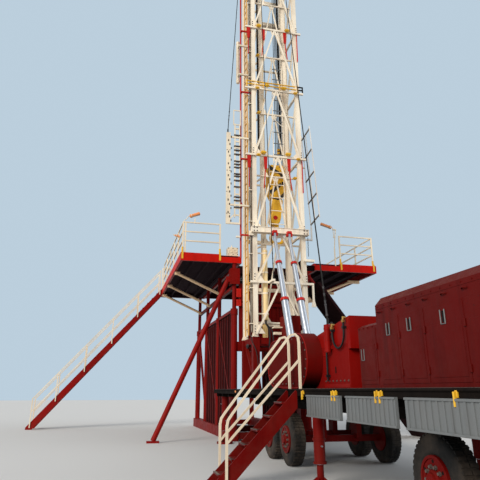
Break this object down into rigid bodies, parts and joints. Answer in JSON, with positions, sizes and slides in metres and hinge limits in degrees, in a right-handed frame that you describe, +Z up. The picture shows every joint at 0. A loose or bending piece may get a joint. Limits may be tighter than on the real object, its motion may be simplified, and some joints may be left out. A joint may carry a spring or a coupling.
{
  "type": "oil drilling rig",
  "caption": "Oil drilling rig on a wheeled chassis: telescoping lattice mast with block and hook, raised drill floor with railed wings, stairs, engine hood and winch housing.",
  "frame": {"origin": "under the middle of the whole rig, on the ground", "axes": "+X along the chassis towards its front end, +Y across, away from the long stair, +Z up"},
  "size_m": [23.3, 14.8224, 19.3303],
  "materials": {
    "cream_paint": "satin",
    "rail_paint": "satin",
    "tan_paint": "satin",
    "ladder_paint": "satin",
    "red_paint": "gloss",
    "dark_red_paint": "gloss",
    "floor_paint": "satin",
    "yellow_paint": "satin",
    "orange_paint": "satin",
    "frame_paint": "satin",
    "polished_steel": "polished",
    "zinc_steel": "satin",
    "cast_steel": "satin",
    "wire_rope": "greasy",
    "hose_rubber": "matt",
    "tyre_rubber": "matt"
  },
  "bodies": {
    "rig": {"mast_lower_left": "cream_paint", "mast_lower_right": "cream_paint", "mast_lower_front": "cream_paint", "mast_lower_rear": "cream_paint", "mast_guides": "red_paint", "extension_barrel": "tan_paint", "raising_clevises": "red_paint", "raising_cylinders": "polished_steel", "standpipe": "red_paint", "mast_ladder": "ladder_paint", "racking_board": "rail_paint", "side_frame": "zinc_steel", "stays": "wire_rope", "counterweight": "rail_paint", "front_wall": "dark_red_paint", "mast_support": "dark_red_paint", "chassis_frame": "frame_paint", "deck": "frame_paint", "axles": "dark_red_paint", "tyres": "tyre_rubber", "levelling_jacks": "dark_red_paint", "engine_hood": "dark_red_paint", "radiator_grille": "frame_paint", "drawworks_housing": "red_paint", "drum_guard": "red_paint", "wall_cylinder": "red_paint", "side_hoses": "hose_rubber", "walkway_panels": "zinc_steel", "deck_stair": "dark_red_paint", "deck_stair_rails": "rail_paint", "substructure_left": "dark_red_paint", "substructure_right": "dark_red_paint", "substructure_ties": "dark_red_paint", "link_beams": "dark_red_paint", "floor_centre": "floor_paint", "rotary_table": "cast_steel", "wing_left": "red_paint", "wing_right": "red_paint", "wing_struts": "tan_paint", "rakers": "red_paint", "side_ramp": "floor_paint", "railing_left": "rail_paint", "railing_right": "rail_paint", "floor_stair": "red_paint", "floor_stair_rails": "rail_paint", "floor_winch": "rail_paint", "lamps": "orange_paint"},
    "upper_mast": {"mast_upper_left": "cream_paint", "mast_upper_right": "cream_paint", "mast_upper_front": "cream_paint", "mast_upper_rear": "cream_paint", "inner_ladder": "cream_paint", "crown_frame": "cream_paint", "crown_sheaves": "cast_steel", "drilling_lines": "wire_rope", "travelling_block": "yellow_paint", "extension_rod": "polished_steel"},
    "hook": {"hook": "yellow_paint"}
  },
  "joints": [
    {"name": "mast_telescope", "type": "slide", "parent": "rig", "child": "upper_mast", "axis": [0, 0, 1], "range_m": [0, 11]},
    {"name": "hook_swivel", "type": "hinge", "parent": "upper_mast", "child": "hook", "pos_m": [-2.565, 1.34978, 8.2], "axis": [0, 0, 1], "continuous": true}
  ]
}
